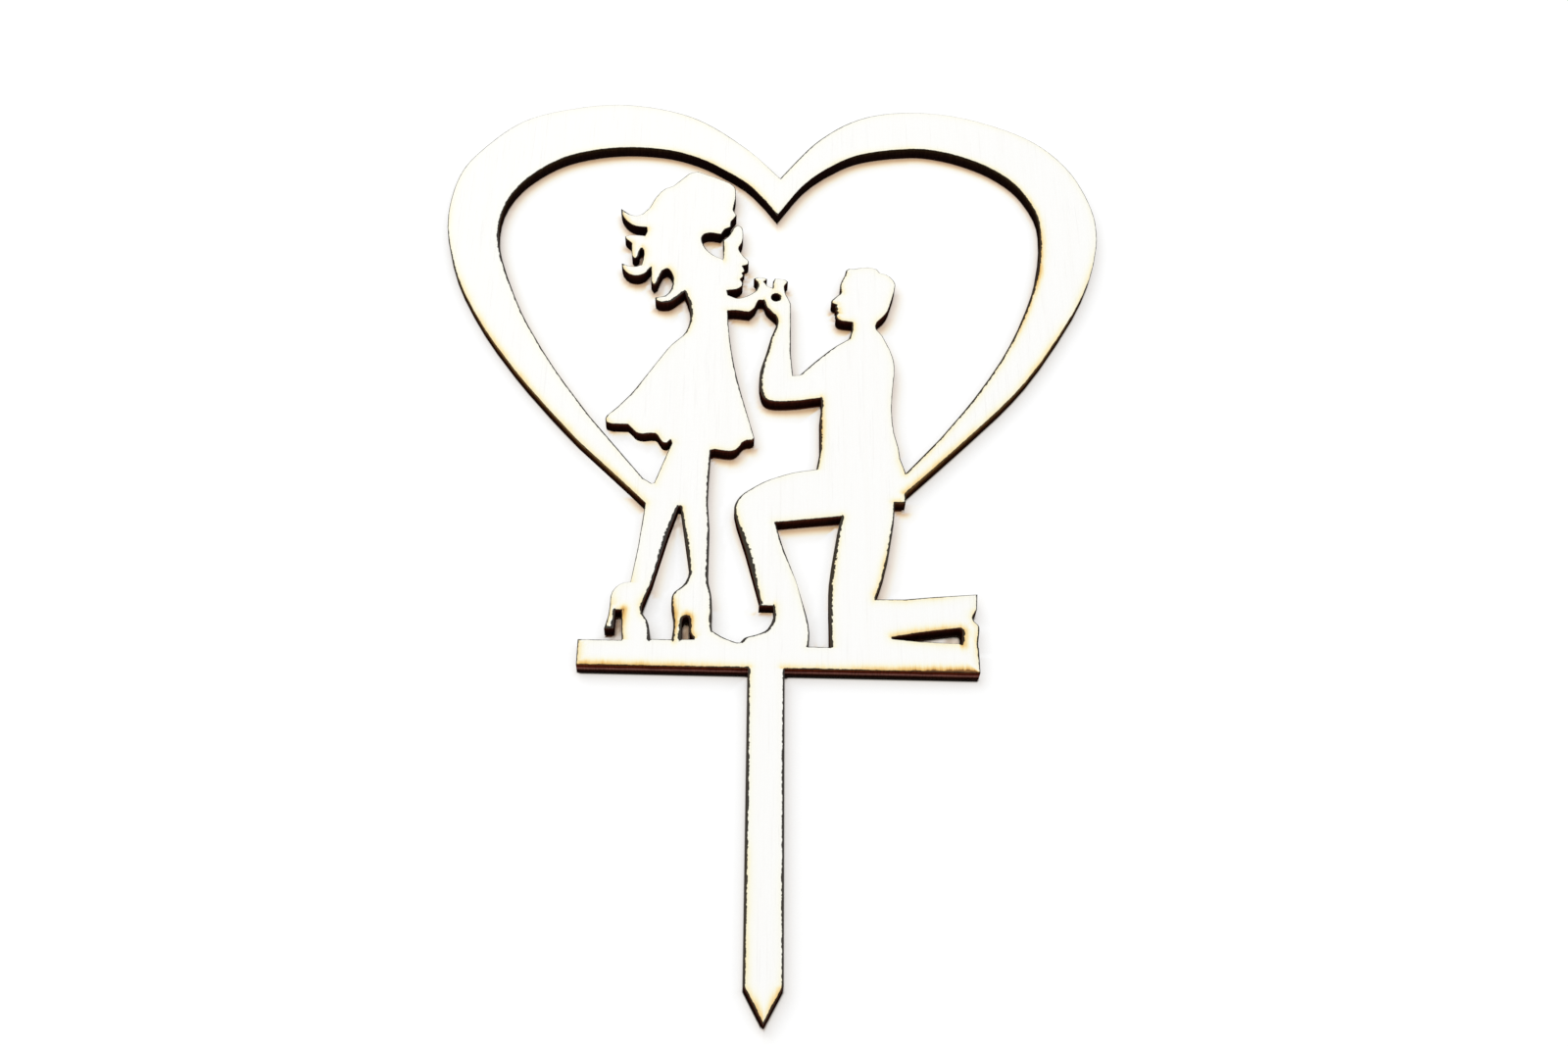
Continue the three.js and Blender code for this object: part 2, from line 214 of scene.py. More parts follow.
# Colour that the smoke leaves of the wood, from no stain to the deepest.
SMOKE_STAIN = (
    (0.0, (1.0, 1.0, 1.0)),
    (0.1, (0.995, 0.985, 0.90)),
    (0.2, (0.99, 0.95, 0.765)),
    (0.36, (0.985, 0.86, 0.545)),
    (0.5, (0.945, 0.72, 0.375)),
    (0.65, (0.885, 0.61, 0.255)),
    (0.82, (0.80, 0.51, 0.155)),
    (0.92, (0.56, 0.30, 0.10)),
    (1.0, (0.25, 0.12, 0.04)),
)
LINE_BLACK = (0.011, 0.006, 0.004, 1.0)

# Colours of a cut wall by depth, from front to back: under the bar, outside the heart and inside it.
BAR_BANDS = (
    (0.0, (0.15, 0.06, 0.022)),
    (0.07, (0.08, 0.013, 0.003)),
    (0.22, (0.062, 0.006, 0.0015)),
    (0.31, (0.060, 0.010, 0.005)),
    (0.38, (0.11, 0.028, 0.019)),
    (0.46, (0.22, 0.085, 0.072)),
    (0.58, (0.15, 0.062, 0.046)),
    (0.68, (0.062, 0.022, 0.014)),
    (0.78, (0.022, 0.006, 0.004)),
    (0.88, (0.010, 0.002, 0.0015)),
    (1.0, (0.008, 0.002, 0.001)),
)
OUTER_SOOT = (
    (0.0, (0.20, 0.12, 0.05)),
    (0.1, (0.16, 0.09, 0.030)),
    (0.2, (0.12, 0.060, 0.018)),
    (0.3, (0.075, 0.028, 0.007)),
    (0.42, (0.045, 0.015, 0.0035)),
    (0.55, (0.026, 0.007, 0.002)),
    (0.72, (0.014, 0.003, 0.001)),
    (1.0, (0.010, 0.0025, 0.001)),
)
INNER_SOOT = (
    (0.0, (0.10, 0.032, 0.014)),
    (0.1, (0.06, 0.015, 0.007)),
    (0.2, (0.042, 0.008, 0.004)),
    (0.32, (0.028, 0.005, 0.0025)),
    (0.45, (0.020, 0.0045, 0.002)),
    (0.58, (0.011, 0.0025, 0.0012)),
    (1.0, (0.007, 0.002, 0.001)),
)
SOOT_BLACK = (0.006, 0.003, 0.0026, 1.0)


# Mesh work


def merged_layer(name):
    """A mesh of one layer of the board, its loose triangles merged into one closed body."""
    bm = bmesh.new()
    bm.from_mesh(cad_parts[name].data)
    bmesh.ops.remove_doubles(bm, verts=bm.verts[:], dist=MERGE_DISTANCE)
    bmesh.ops.recalc_face_normals(bm, faces=bm.faces[:])
    return bm


def is_wall(face):
    """True for a face that the beam cut, which stands square to the board's faces."""
    return abs(face.normal.y) < WALL_TILT


def join_walls(bm):
    """Turns each wall facet's two triangles into one upright quad."""
    walls = [face for face in bm.faces if is_wall(face)]
    bmesh.ops.join_triangles(
        bm, faces=walls, angle_face_threshold=math.radians(0.5), angle_shape_threshold=math.pi
    )


def dice(bm, faces, axis, low, cells, cell):
    """Cuts these flat faces along one axis into strips one cell wide, halving them each time."""
    if cells < 2 or not faces:
        return faces
    half = cells // 2
    middle = low + half * cell
    place, normal = Vector(), Vector()
    place[axis], normal[axis] = middle, 1
    edges = {edge for face in faces for edge in face.edges}
    verts = {vert for face in faces for vert in face.verts}
    cut = bmesh.ops.bisect_plane(
        bm, geom=[*verts, *edges, *faces], dist=MERGE_DISTANCE / 10, plane_co=place, plane_no=normal
    )
    found = [item for item in cut["geom"] if isinstance(item, bmesh.types.BMFace)]
    below = [face for face in found if face.calc_center_median()[axis] < middle]
    above = [face for face in found if face.calc_center_median()[axis] >= middle]
    return dice(bm, below, axis, low, half, cell) + dice(bm, above, axis, middle, cells - half, cell)


def dice_outward_face(bm, outward, cell):
    """Dices the outward face of a veneer into squares, so that scorch can be laid on its points."""
    faces = [face for face in bm.faces if face.normal.y * outward > WALL_TILT]
    corners = [vert.co for face in faces for vert in face.verts]
    for axis in (0, 2):
        low = min(corner[axis] for corner in corners)
        high = max(corner[axis] for corner in corners)
        faces = dice(bm, faces, axis, low, math.ceil((high - low) / cell), cell)


def gains_near(x, z, places):
    """For each place in a table, its gain as faded at x and z, and how many of its reaches away it is."""
    for place_x, place_z, reach, gain in places:
        away = math.hypot(x - place_x, z - place_z) / reach
        yield gain * math.exp(-away * away), away


def scorched(x, z):
    """How many times the plain stain this place took."""
    share = 1.0
    for gain, away in gains_near(x, z, SCORCHED_PLACES):
        if away < STAIN_CUT_OFF:
            share += gain
    return max(share, 0.0)


def plain_stain(normal, z):
    """The stain beside a cut that faces this way: most to the left and under the bar, little above."""
    down, up = max(-normal.z, 0), max(normal.z, 0)
    left, right = max(-normal.x, 0), max(normal.x, 0)
    stain = STAIN_DOWN * down + STAIN_UNDER_BAR * down * math.exp(-((z / UNDER_BAR_REACH) ** 2))
    return stain + STAIN_UP * up + STAIN_LEFT * left * max(1 - 1.1 * up, 0.2) + STAIN_RIGHT * right


def char_and_shadow_line(normal, x, z):
    """Width of the dark line along an arris, in mm: real char, widened with painted contact shadow.

    It is full beside an upright wall and a thread above one that faces up. Above the bar a wall
    that faces the middle has a wider line than one that faces away from it.
    """
    width = LINE_WIDTH * (1 - 0.75 * max(normal.z, 0) ** 2 - 0.35 * max(-normal.z, 0))
    if z > 0:
        inward = -normal.x * (x - LINE_MIDDLE) / LINE_SPREAD
        width *= 1 + min(max(inward, LINE_LIMITS[0]), LINE_LIMITS[1])
    for gain, _ in gains_near(x, z, CHAR_AND_SHADOW_PLACES):
        width *= 1 + gain
    return width


def lay_scorch(bm):
    """Gives each point its smoke, its distance to the nearest cut and the width of its dark arris line, real
    char and painted contact shadow, in mm.
    """
    walls = BVHTree.FromBMesh(walls_alone(bm))
    distance_layer = bm.verts.layers.float.new("cut_distance")
    smoke_layer = bm.verts.layers.float.new("smoke")
    line_layer = bm.verts.layers.float.new("char_and_shadow_line")
    for vert in bm.verts:
        _, normal, _, distance = walls.find_nearest(vert.co)
        x, z = vert.co.x / MM, vert.co.z / MM
        vert[distance_layer] = distance / MM
        vert[smoke_layer] = plain_stain(normal, z) * scorched(x, z)
        vert[line_layer] = char_and_shadow_line(normal, x, z)


def walls_alone(bm):
    """A copy of the mesh that keeps only its cut walls."""
    walls = bm.copy()
    flat = [face for face in walls.faces if not is_wall(face)]
    bmesh.ops.delete(walls, geom=flat, context="FACES")
    return walls


def finish_piece(bm, name, node, outward, materials):
    """Makes the piece that stands for a layer: its mesh, its materials and what it rides on."""
    for face in bm.faces:
        if is_wall(face):
            face.material_index = WALL_SLOT
            face.smooth = True
        elif outward and face.normal.y * outward > 0:
            face.material_index = FACE_SLOT
        else:
            face.material_index = GLUED_SLOT
    mesh = bpy.data.meshes.new(name)
    bm.to_mesh(mesh)
    bm.free()
    mesh.set_sharp_from_angle(angle=SMOOTH_ANGLE)
    for material in materials:
        mesh.materials.append(material)
    piece = bpy.data.objects.new(name, mesh)
    bpy.context.scene.collection.objects.link(piece)
    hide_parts(node)
    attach(piece, "root")


# Node helpers


def add(tree, kind, **settings):
    """A new node with these settings."""
    made = tree.nodes.new(kind)
    for name, value in settings.items():
        setattr(made, name, value)
    return made


def put(tree, socket, value):
    """Feeds a socket from another socket, or sets it to a plain value."""
    if isinstance(value, bpy.types.NodeSocket):
        tree.links.new(value, socket)
    else:
        socket.default_value = value


def maths(tree, operation, first, second=0.0, clamp=False):
    """One step of arithmetic on values."""
    step = add(tree, "ShaderNodeMath", operation=operation, use_clamp=clamp)
    put(tree, step.inputs[0], first)
    put(tree, step.inputs[1], second)
    return step.outputs[0]


def remap(tree, value, low, high, to_low=0.0, to_high=1.0, smooth=True):
    """A value brought from one range to another."""
    step = add(tree, "ShaderNodeMapRange", interpolation_type="SMOOTHSTEP" if smooth else "LINEAR")
    put(tree, step.inputs["Value"], value)
    for name, number in (("From Min", low), ("From Max", high), ("To Min", to_low), ("To Max", to_high)):
        put(tree, step.inputs[name], number)
    return step.outputs["Result"]


def blend(tree, how, share, first, second):
    """Two colours mixed, multiplied or the like."""
    step = add(tree, "ShaderNodeMix", data_type="RGBA", blend_type=how)
    put(tree, step.inputs["Factor"], share)
    put(tree, step.inputs["A"], first)
    put(tree, step.inputs["B"], second)
    return step.outputs["Result"]


def ramp(tree, value, stops):
    """A colour for each share of the value: (share, colour) pairs."""
    step = add(tree, "ShaderNodeValToRGB")
    band = step.color_ramp
    while len(band.elements) < len(stops):
        band.elements.new(1.0)
    for element, (share, colour) in zip(band.elements, stops):
        element.position = share
        element.color = (*colour, 1.0)
    put(tree, step.inputs["Fac"], value)
    return step.outputs["Color"]


def stretched_noise(tree, vector, stretch, detail=3.0, roughness=0.55, offset=(0.0, 0.0, 0.0)):
    """Noise drawn out along the axes: stretch is its cells per metre along x, y and z."""
    place = add(tree, "ShaderNodeVectorMath", operation="MULTIPLY_ADD")
    put(tree, place.inputs[0], vector)
    put(tree, place.inputs[1], stretch)
    put(tree, place.inputs[2], offset)
    noise = add(tree, "ShaderNodeTexNoise", noise_dimensions="3D")
    put(tree, noise.inputs["Vector"], place.outputs["Vector"])
    put(tree, noise.inputs["Scale"], 1.0)
    put(tree, noise.inputs["Detail"], detail)
    put(tree, noise.inputs["Roughness"], roughness)
    return noise.outputs["Fac"]


def new_group(name, inputs, outputs):
    """An empty shader group with these named sockets, and its two end nodes."""
    tree = bpy.data.node_groups.new(name, "ShaderNodeTree")
    kinds = {"value": "NodeSocketFloat", "colour": "NodeSocketColor", "vector": "NodeSocketVector"}
    for socket, kind in inputs:
        tree.interface.new_socket(name=socket, in_out="INPUT", socket_type=kinds[kind])
    for socket, kind in outputs:
        tree.interface.new_socket(name=socket, in_out="OUTPUT", socket_type=kinds[kind])
    return tree, add(tree, "NodeGroupInput"), add(tree, "NodeGroupOutput")


def use_group(tree, group, **values):
    """Places a group in a material, its inputs named with underscores for spaces."""
    placed = add(tree, "ShaderNodeGroup", node_tree=group)
    for name, value in values.items():
        put(tree, placed.inputs[name.replace("_", " ").title()], value)
    return placed.outputs


# Shared effects


def wood_grain():
    """Fibres, growth bands and pores of a peeled veneer, drawn out along its grain."""
    found = bpy.data.node_groups.get("Wood Grain")
    if found:
        return found
    tree, start, end = new_group(
        "Wood Grain",
        (
            ("Place", "vector"),
            ("Fine Stretch", "vector"),
            ("Broad Stretch", "vector"),
            ("Seed", "vector"),
        ),
        (("Fibres", "value"), ("Bands", "value"), ("Pores", "value"), ("Height", "value")),
    )
    place, fine, broad, seed = (start.outputs[i] for i in range(4))
    fibres = stretched_noise(tree, place, fine, 4.0, 0.6, seed)
    bands = stretched_noise(tree, place, broad, 3.0, 0.5, seed)
    pore_noise = stretched_noise(tree, place, fine, 1.0, 0.4, broad)
    pores = remap(tree, pore_noise, 0.66, 0.74)
    height = maths(tree, "SUBTRACT", fibres, maths(tree, "MULTIPLY", pores, 0.6))
    for socket, value in zip(("Fibres", "Bands", "Pores", "Height"), (fibres, bands, pores, height)):
        put(tree, end.inputs[socket], value)
    return tree


def smoke_halo():
    """Amber and brown smoke stain beside a cut, combed along the grain, with a dark line at the arris, real
    char and painted contact shadow.
    """
    found = bpy.data.node_groups.get("Smoke Halo")
    if found:
        return found
    tree, start, end = new_group(
        "Smoke Halo",
        (
            ("Place", "vector"),
            ("Wood", "colour"),
            ("Distance", "value"),
            ("Smoke", "value"),
            ("Line", "value"),
            ("Reach", "value"),
        ),
        (("Color", "colour"),),
    )
    place, wood, distance, smoke, line, reach = (start.outputs[i] for i in range(6))
    comb = stretched_noise(tree, place, (1700.0, 300.0, 130.0), 3.0, 0.7)
    drift = stretched_noise(tree, place, (190.0, 190.0, 130.0), 2.0, 0.5, (7.0, 3.0, 1.0))
    pooled = maths(tree, "MULTIPLY", smoke, remap(tree, drift, 0.3, 0.7, 0.7, 1.3, smooth=False))
    tooth_length = maths(tree, "MULTIPLY", maths(tree, "MINIMUM", pooled, 0.5), 1.8)
    teeth = maths(tree, "MULTIPLY", maths(tree, "SUBTRACT", comb, 0.5), tooth_length)
    away = maths(tree, "DIVIDE", maths(tree, "MAXIMUM", maths(tree, "ADD", distance, teeth), 0.0), reach)
    fade = maths(tree, "EXPONENT", maths(tree, "MULTIPLY", maths(tree, "POWER", away, 1.6), -1.0))
    burn = maths(tree, "MULTIPLY", pooled, fade, clamp=True)
    stained = blend(tree, "MULTIPLY", 1.0, wood, ramp(tree, burn, SMOKE_STAIN))
    broken = stretched_noise(tree, place, (1100.0, 1100.0, 1100.0), 3.0, 0.65, (2.0, 5.0, 9.0))
    edge = maths(tree, "MULTIPLY", line, remap(tree, broken, 0.32, 0.68, 0.75, 1.25))
    # Dark arris line: real char, widened with painted contact shadow.
    hair = remap(tree, maths(tree, "SUBTRACT", distance, edge), -0.05, 0.05, 0.97, 0.0)
    put(tree, end.inputs["Color"], blend(tree, "MIX", hair, stained, LINE_BLACK))
    return tree


def laser_char():
    """Charred wall of a laser cut: dark bands by depth, striae along the beam and browner patches."""
    found = bpy.data.node_groups.get("Laser Char")
    if found:
        return found
    tree, start, end = new_group(
        "Laser Char",
        (("Place", "vector"), ("Toast", "value"), ("Grain Stretch", "vector")),
        (("Color", "colour"), ("Roughness", "value"), ("Height", "value")),
    )
    place, toast, grain = (start.outputs[i] for i in range(3))
    striae = stretched_noise(tree, place, (3200.0, 260.0, 3200.0), 3.0, 0.6)
    patches = stretched_noise(tree, place, (210.0, 900.0, 210.0), 3.0, 0.55, (4.0, 1.0, 6.0))
    fibres = stretched_noise(tree, place, grain, 3.0, 0.6, (1.0, 8.0, 3.0))
    axes = add(tree, "ShaderNodeSeparateXYZ")
    put(tree, axes.inputs[0], place)
    wavering = maths(tree, "MULTIPLY", maths(tree, "SUBTRACT", patches, 0.5), 0.45 * MM)
    depth = maths(tree, "ADD", axes.outputs["Y"], wavering)
    depth = remap(tree, depth, FRONT_PLANE, BACK_PLANE, smooth=False)
    height = axes.outputs["Z"]
    low = remap(tree, maths(tree, "ABSOLUTE", height), 1.2 * MM, 4.5 * MM, 1.0, 0.0)
    middle = add(tree, "ShaderNodeVectorMath", operation="DISTANCE")
    put(tree, middle.inputs[0], place)
    put(tree, middle.inputs[1], (HEART_MIDDLE[0], 0.0, HEART_MIDDLE[1]))
    rim = remap(tree, middle.outputs["Value"], HOOP_REACH, HOOP_REACH + 7 * MM)
    outer = maths(tree, "MULTIPLY", rim, remap(tree, height, LEG_TOP - 4 * MM, LEG_TOP + 3 * MM))
    patchy = maths(tree, "MULTIPLY", remap(tree, patches, 0.25, 0.55, 0.35, 1.0), toast)
    sooty = maths(tree, "MULTIPLY", patchy, remap(tree, height, 70 * MM, 125 * MM, 1.0, 0.12))
    soot = blend(tree, "MIX", outer, ramp(tree, depth, INNER_SOOT), ramp(tree, depth, OUTER_SOOT))
    toasted = blend(tree, "MIX", sooty, SOOT_BLACK, soot)
    banded = maths(tree, "MULTIPLY", patchy, low)
    toasted = blend(tree, "MIX", banded, toasted, ramp(tree, depth, BAR_BANDS))
    fibre_shade = remap(tree, fibres, 0.3, 0.7, 0.65, 1.35, smooth=False)
    shade = maths(tree, "MULTIPLY", fibre_shade, remap(tree, striae, 0.3, 0.7, 0.6, 1.4, smooth=False))
    grey = add(tree, "ShaderNodeCombineColor")
    for channel in ("Red", "Green", "Blue"):
        put(tree, grey.inputs[channel], shade)
    put(tree, end.inputs["Color"], blend(tree, "MULTIPLY", 1.0, toasted, grey.outputs["Color"]))
    put(tree, end.inputs["Roughness"], remap(tree, striae, 0.2, 0.8, 0.95, 0.7, smooth=False))
    put(tree, end.inputs["Height"], maths(tree, "ADD", striae, maths(tree, "MULTIPLY", fibres, 0.4)))
    return tree


# Finishes


def new_finish(name):
    """An empty material with its shader and the place on the piece."""
    material = bpy.data.materials.new(name)
    material.use_nodes = True
    tree = material.node_tree
    tree.nodes.clear()
    shader = add(tree, "ShaderNodeBsdfPrincipled")
    out = add(tree, "ShaderNodeOutputMaterial")
    put(tree, out.inputs["Surface"], shader.outputs["BSDF"])
    place = add(tree, "ShaderNodeTexCoord").outputs["Object"]
    return material, tree, shader, place


def raise_relief(tree, shader, height, depth, strength=0.5):
    """Fine relief on the surface, of this depth in metres."""
    bump = add(tree, "ShaderNodeBump")
    put(tree, bump.inputs["Height"], height)
    put(tree, bump.inputs["Distance"], depth)
    put(tree, bump.inputs["Strength"], strength)
    put(tree, shader.inputs["Normal"], bump.outputs["Normal"])


def sanded_veneer(name, sizes, seed, smoke_gain):
    """The pale sanded face of a face veneer, its grain upright, scorched beside the cuts."""
    material, tree, shader, place = new_finish(name)
    grain = use_group(
        tree,
        wood_grain(),
        place=place,
        fine_stretch=(3800.0, 3800.0, 70.0),
        broad_stretch=(520.0, 520.0, 9.0),
        seed=seed,
    )
    pale, dark = (*sizes.face_colour, 1.0), (*sizes.grain_colour, 1.0)
    lines = remap(tree, grain["Fibres"], 0.40, 0.72)
    wood = blend(tree, "MIX", maths(tree, "MULTIPLY", lines, 0.28), pale, dark)
    wood = blend(tree, "MIX", remap(tree, grain["Bands"], 0.45, 0.75, 0.0, 0.28), wood, dark)
    pores = maths(tree, "MULTIPLY", grain["Pores"], 0.07)
    wood = blend(tree, "MIX", pores, wood, (0.42, 0.36, 0.28, 1.0))
    distance = add(tree, "ShaderNodeAttribute", attribute_name="cut_distance").outputs["Fac"]
    smoke = add(tree, "ShaderNodeAttribute", attribute_name="smoke").outputs["Fac"]
    line = add(tree, "ShaderNodeAttribute", attribute_name="char_and_shadow_line").outputs["Fac"]
    halo = use_group(
        tree,
        smoke_halo(),
        place=place,
        wood=wood,
        distance=distance,
        smoke=maths(tree, "MULTIPLY", smoke, smoke_gain),
        line=line,
        reach=sizes.smoke_reach / MM,
    )
    put(tree, shader.inputs["Base Color"], halo["Color"])
    roughness = remap(tree, grain["Fibres"], 0.3, 0.7, 0.62, 0.78, smooth=False)
    put(tree, shader.inputs["Roughness"], roughness)
    shader.inputs["Specular IOR Level"].default_value = 0.15
    raise_relief(tree, shader, grain["Height"], sizes.relief)
    return material


def charred_wall(name, toast, grain_stretch, sizes):
    """The burnt wall of a cut through one kind of layer."""
    material, tree, shader, place = new_finish(name)
    char = use_group(tree, laser_char(), place=place, toast=toast, grain_stretch=grain_stretch)
    put(tree, shader.inputs["Base Color"], char["Color"])
    put(tree, shader.inputs["Roughness"], char["Roughness"])
    shader.inputs["Specular IOR Level"].default_value = 0.0
    raise_relief(tree, shader, char["Height"], sizes.relief, strength=0.7)
    return material


def bare_veneer(name, fine_stretch, broad_stretch, sizes):
    """The glued side of a veneer, unsanded and darkened by the resin that soaked in."""
    material, tree, shader, place = new_finish(name)
    grain = use_group(
        tree,
        wood_grain(),
        place=place,
        fine_stretch=fine_stretch,
        broad_stretch=broad_stretch,
        seed=(3.0, 9.0, 4.0),
    )
    lines = remap(tree, grain["Fibres"], 0.35, 0.7)
    wood = blend(tree, "MIX", lines, (0.62, 0.47, 0.29, 1.0), (0.45, 0.31, 0.17, 1.0))
    bands = remap(tree, grain["Bands"], 0.4, 0.7, 0.0, 0.6)
    wood = blend(tree, "MIX", bands, wood, (0.36, 0.22, 0.11, 1.0))
    put(tree, shader.inputs["Base Color"], wood)
    roughness = remap(tree, grain["Fibres"], 0.3, 0.7, 0.7, 0.85, smooth=False)
    put(tree, shader.inputs["Roughness"], roughness)
    shader.inputs["Specular IOR Level"].default_value = 0.2
    raise_relief(tree, shader, grain["Height"], sizes.relief)
    return material


def cured_resin(name, sizes):
    """The broad side of a glue film: brown cured resin that has taken the print of the grain."""
    material, tree, shader, place = new_finish(name)
    grain = use_group(
        tree,
        wood_grain(),
        place=place,
        fine_stretch=(2600.0, 2600.0, 120.0),
        broad_stretch=(160.0, 160.0, 60.0),
        seed=(6.0, 2.0, 7.0),
    )
    thin = remap(tree, grain["Bands"], 0.35, 0.68)
    resin = blend(tree, "MIX", thin, (*sizes.glue_colour, 1.0), (0.21, 0.10, 0.035, 1.0))
    fibres = maths(tree, "MULTIPLY", grain["Fibres"], 0.4)
    resin = blend(tree, "MIX", fibres, resin, (0.05, 0.022, 0.009, 1.0))
    put(tree, shader.inputs["Base Color"], resin)
    roughness = remap(tree, grain["Bands"], 0.3, 0.7, 0.35, 0.55, smooth=False)
    put(tree, shader.inputs["Roughness"], roughness)
    raise_relief(tree, shader, grain["Height"], sizes.relief)
    return material


# Stage


def eye_rays(tree):
    """1 for the rays that the eye sees straight, in a gloss or through something clear."""
    path = add(tree, "ShaderNodeLightPath")
    eye = maths(tree, "MAXIMUM", path.outputs["Is Camera Ray"], path.outputs["Is Glossy Ray"])
    return maths(tree, "MAXIMUM", eye, path.outputs["Is Transmission Ray"])


def sheet_surface(settings):
    """White matt sheet, bright a little way from the board, clear from behind and to all but the eye's rays.

    Close to the walls it has painted shade, black just under the board's edge, and inside the heart that
    painted shade is warm.
    """
    material = bpy.data.materials.new("white_sheet")
    material.use_nodes = True
    tree = material.node_tree
    tree.nodes.clear()
    out = add(tree, "ShaderNodeOutputMaterial")
    paper = add(tree, "ShaderNodeBsdfDiffuse")
    place = add(tree, "ShaderNodeTexCoord").outputs["Object"]
    tooth = stretched_noise(tree, place, (420.0, 420.0, 420.0), 4.0, 0.6)
    speckle = remap(tree, tooth, 0.3, 0.7, 0.0, 0.05)
    tone = blend(tree, "MIX", speckle, (*settings.sheet_colour, 1.0), (0.2, 0.2, 0.2, 1.0))
    distance = add(tree, "ShaderNodeAttribute", attribute_name="edge_distance").outputs["Fac"]
    shade_warmth = add(tree, "ShaderNodeAttribute", attribute_name="shade_warmth").outputs["Fac"]
    open_air = add(tree, "ShaderNodeAttribute", attribute_name="open_air").outputs["Fac"]
    open_air = remap(tree, open_air, *SHADE_SPAN, smooth=False)
    # Painted shade: ramps by the open air, plain or warm, give the glow its colour.
    plain, warm = ramp(tree, open_air, PLAIN_SHADE), ramp(tree, open_air, WARM_SHADE)
    shade = blend(tree, "MIX", shade_warmth, plain, warm)
    # Painted shade: the paper itself goes black just under the board's edge.
    lit_share = remap(tree, distance, -0.05, 0.14, 0.03, 1.0)
    put(tree, paper.inputs["Color"], blend(tree, "MIX", lit_share, (0.0, 0.0, 0.0, 1.0), tone))
    painted_shade_glow = add(tree, "ShaderNodeEmission")
    put(tree, painted_shade_glow.inputs["Color"], shade)
    put(tree, painted_shade_glow.inputs["Strength"], settings.sheet_glow)
    lit = add(tree, "ShaderNodeAddShader")
    put(tree, lit.inputs[0], paper.outputs[0])
    put(tree, lit.inputs[1], painted_shade_glow.outputs[0])
    clear = add(tree, "ShaderNodeBsdfTransparent")
    behind = add(tree, "ShaderNodeNewGeometry").outputs["Backfacing"]
    seen = maths(tree, "MULTIPLY", eye_rays(tree), maths(tree, "SUBTRACT", 1.0, behind))
    choice = add(tree, "ShaderNodeMixShader")
    put(tree, choice.inputs[0], seen)
    put(tree, choice.inputs[1], clear.outputs[0])
    put(tree, choice.inputs[2], lit.outputs[0])
    put(tree, out.inputs["Surface"], choice.outputs[0])
    return material


def lay_sheet(settings):
    """The white sheet just behind the topper's back: fine squares near the board, then one wide rim."""
    low, high = CAD_BOX
    width, height = high.x - low.x + 2 * SHEET_MARGIN, high.z - low.z + 2 * SHEET_MARGIN
    bm = bmesh.new()
    columns, rows = round(width / settings.sheet_cell), round(height / settings.sheet_cell)
    bmesh.ops.create_grid(bm, x_segments=columns, y_segments=rows, size=0.5)
    bmesh.ops.scale(bm, verts=bm.verts[:], vec=(width, height, 1))
    rim = bmesh.ops.extrude_edge_only(bm, edges=[edge for edge in bm.edges if edge.is_boundary])
    far = [item for item in rim["geom"] if isinstance(item, bmesh.types.BMVert)]
    bmesh.ops.scale(bm, verts=far, vec=(settings.sheet_side / width, settings.sheet_side / height, 1))
    bmesh.ops.rotate(bm, verts=bm.verts[:], matrix=Euler((math.radians(90), 0, 0)).to_matrix())
    middle = (low + high) / 2
    bmesh.ops.translate(bm, verts=bm.verts[:], vec=(middle.x, BACK_PLANE, middle.z))
    for vert in bm.verts:
        lean = settings.lean_along * vert.co.z + settings.lean_across * vert.co.x
        vert.co.y += settings.sheet_gap + lean
    bm.normal_update()
    bmesh.ops.reverse_faces(bm, faces=[face for face in bm.faces if face.normal.y > 0])
    shade_sheet(bm)
    mesh = bpy.data.meshes.new("white_sheet")
    bm.to_mesh(mesh)
    bm.free()
    mesh.materials.append(sheet_surface(settings))
    sheet = bpy.data.objects.new("white_sheet", mesh)
    bpy.context.scene.collection.objects.link(sheet)


def lit_further(x, z):
    """How far the painted light creeps in under the board's edge at this place, in mm."""
    creep = CREEP * min(max((z - CREEP_START) / CREEP_RISE, 0), 1)
    for further, _ in gains_near(x, z, LIT_PLACES):
        creep += further
    return creep


def within_heart(place, normal):
    """True for a place on the sheet inside the heart's hoop; normal is that of the nearest wall."""
    offset = Vector((place.x - HEART_MIDDLE[0], 0, place.z - HEART_MIDDLE[1]))
    outside_hoop = offset.length > HOOP_REACH and place.z > LEG_TOP and normal.dot(offset) > 0
    return offset.length < HEART_REACH and not outside_hoop


def pocket_share(walls, place):
    """How far walls shut in a place on the sheet: none beside a straight edge, 1 in a small hole."""
    within_board = place - Vector((0, 0.1 * MM, 0))
    blocked = 0
    for step in range(POCKET_RAYS):
        turn = math.radians(360 / POCKET_RAYS * step)
        ray = Vector((math.cos(turn), 0, math.sin(turn)))
        blocked += walls.ray_cast(within_board, ray, POCKET_REACH * MM)[0] is not None
    return min(max((blocked - POCKET_START) / (POCKET_FULL - POCKET_START), 0), 1)


